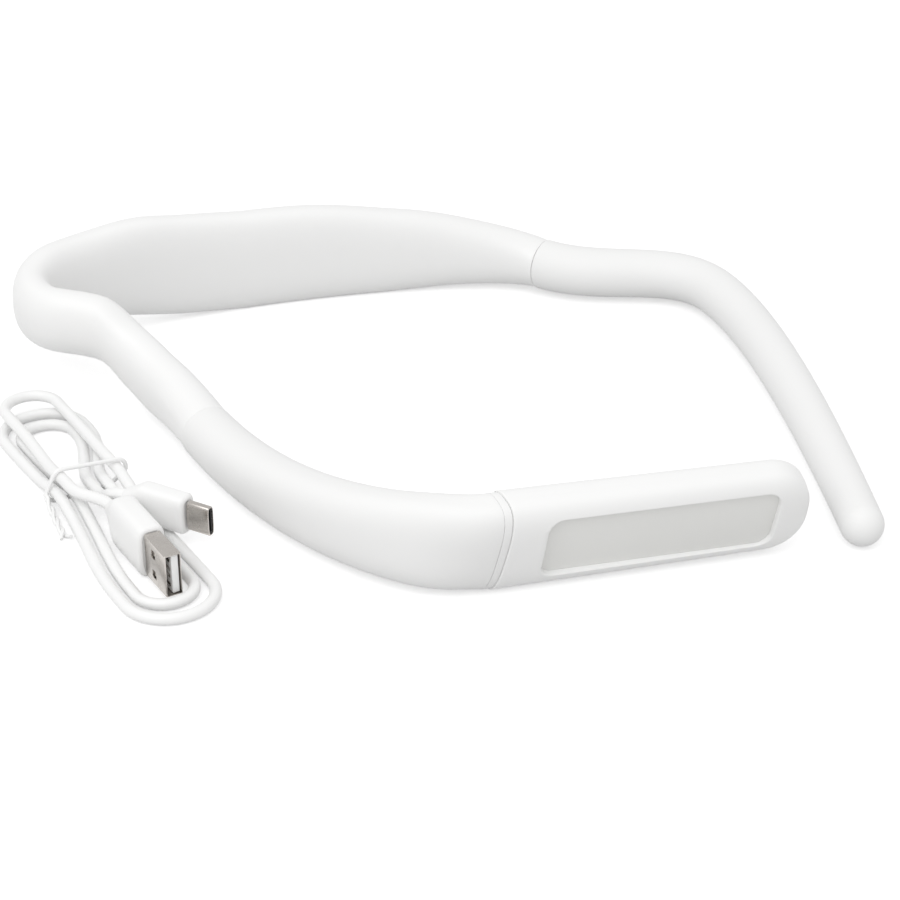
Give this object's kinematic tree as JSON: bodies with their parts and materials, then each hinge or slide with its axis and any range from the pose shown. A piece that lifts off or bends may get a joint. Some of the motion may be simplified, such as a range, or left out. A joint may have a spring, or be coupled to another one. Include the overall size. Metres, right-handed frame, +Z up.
{
  "type": "neck reading light",
  "caption": "Neck reading light: curved battery housing, bendable lamp arm with a flat light head, plain counter arm, and a tied USB charging cable.",
  "frame": {"origin": "middle of the flat under the housing, where the light rests on a table", "axes": "+Z up, -Y the way the wearer faces, +X the wearer's left, the plain arm's side"},
  "size_m": [0.2439, 0.2528, 0.0349],
  "materials": {
    "white_plastic": "satin white moulding",
    "white_silicone": "matt white silicone",
    "steel": "plain steel, hidden inside",
    "nickel": "nickel-plated connector shell",
    "green_board": "circuit board",
    "cell_foil": "foil pouch",
    "grey_foam": "foam",
    "frosted_panel": "frosted light panel, unlit",
    "black_plastic": "black moulding",
    "clear_plastic": "clear light pipe",
    "cable_white": "satin white cable jacket",
    "tie_white": "coated wire tie"
  },
  "bodies": {
    "housing": {"housing_body": "white_plastic", "back_cover": "white_plastic", "cover_screw_1": "steel", "cover_screw_2": "steel", "battery_cell_1": "cell_foil", "battery_cell_2": "cell_foil", "cell_pad_1": "grey_foam", "cell_pad_2": "grey_foam", "control_board": "green_board", "usb_port_shell": "nickel", "charge_light_pipe": "clear_plastic", "lamp_arm_ferrule": "steel", "plain_arm_ferrule": "steel", "lamp_arm_sleeve_1": "white_silicone", "lamp_arm_core_1": "steel", "plain_arm_sleeve_1": "white_silicone", "plain_arm_core_1": "steel", "cable_hank": "cable_white", "cable_tie": "tie_white", "lead_usb_a": "cable_white", "lead_usb_c": "cable_white", "usb_a_overmould": "cable_white", "usb_a_shell": "nickel", "usb_a_tongue": "white_plastic", "usb_c_overmould": "cable_white", "usb_c_shell": "nickel", "usb_c_insert": "black_plastic"},
    "lamp_link_2": {"lamp_arm_sleeve_2": "white_silicone", "lamp_arm_core_2": "steel"},
    "lamp_link_3": {"lamp_arm_sleeve_3": "white_silicone", "lamp_arm_core_3": "steel"},
    "lamp_link_4": {"lamp_arm_sleeve_4": "white_silicone", "lamp_arm_core_4": "steel"},
    "lamp_head": {"lamp_arm_sleeve_5": "white_silicone", "lamp_arm_core_5": "steel", "head_collar": "white_silicone", "head_front_frame": "white_plastic", "head_back_shell": "white_plastic", "diffuser": "frosted_panel", "reflector_tray": "white_plastic", "led_board": "green_board", "core_anchor": "steel", "tact_switch": "black_plastic"},
    "power_button": {"power_button": "white_silicone"},
    "plain_link_2": {"plain_arm_sleeve_2": "white_silicone", "plain_arm_core_2": "steel"},
    "plain_link_3": {"plain_arm_sleeve_3": "white_silicone", "plain_arm_core_3": "steel"},
    "plain_link_4": {"plain_arm_sleeve_4": "white_silicone", "plain_arm_core_4": "steel"},
    "plain_link_5": {"plain_arm_sleeve_5": "white_silicone", "plain_arm_core_5": "steel"}
  },
  "joints": [
    {"name": "lamp_arm_pitch_1", "type": "hinge", "parent": "housing", "child": "lamp_link_2", "pos_m": [-0.07795, -0.0787, 0.00843], "axis": [-0.9563, 0.2924, 0], "range_deg": [-20, 20]},
    {"name": "lamp_arm_yaw_1", "type": "hinge", "parent": "lamp_link_2", "child": "lamp_link_3", "pos_m": [-0.08393, -0.10293, 0.00954], "axis": [0, 0, 1], "range_deg": [-25, 0]},
    {"name": "lamp_arm_pitch_2", "type": "hinge", "parent": "lamp_link_3", "child": "lamp_link_4", "pos_m": [-0.08642, -0.12667, 0.01159], "axis": [-0.9999, 0.0123, 0], "range_deg": [-20, 20]},
    {"name": "lamp_arm_yaw_2", "type": "hinge", "parent": "lamp_link_4", "child": "lamp_head", "pos_m": [-0.08388, -0.14816, 0.0136], "axis": [0, 0, 1], "range_deg": [-25, 0]},
    {"name": "power_button_press", "type": "slide", "parent": "lamp_head", "child": "power_button", "axis": [-0.5485, -0.7951, -0.2588], "range_m": [0, 0.0003], "stiffness_N_per_m": 1500},
    {"name": "plain_arm_pitch_1", "type": "hinge", "parent": "housing", "child": "plain_link_2", "pos_m": [0.09251, -0.0966, 0.00824], "axis": [-0.8911, -0.4539, 0], "range_deg": [-20, 20]},
    {"name": "plain_arm_yaw_1", "type": "hinge", "parent": "plain_link_2", "child": "plain_link_3", "pos_m": [0.08327, -0.13276, 0.00768], "axis": [0, 0, 1], "range_deg": [0, 25]},
    {"name": "plain_arm_pitch_2", "type": "hinge", "parent": "plain_link_3", "child": "plain_link_4", "pos_m": [0.05976, -0.16423, 0.00712], "axis": [-0.773, 0.6344, 0], "range_deg": [-20, 20]},
    {"name": "plain_arm_yaw_2", "type": "hinge", "parent": "plain_link_4", "child": "plain_link_5", "pos_m": [0.03408, -0.19397, 0.00656], "axis": [0, 0, 1], "range_deg": [0, 25]}
  ]
}
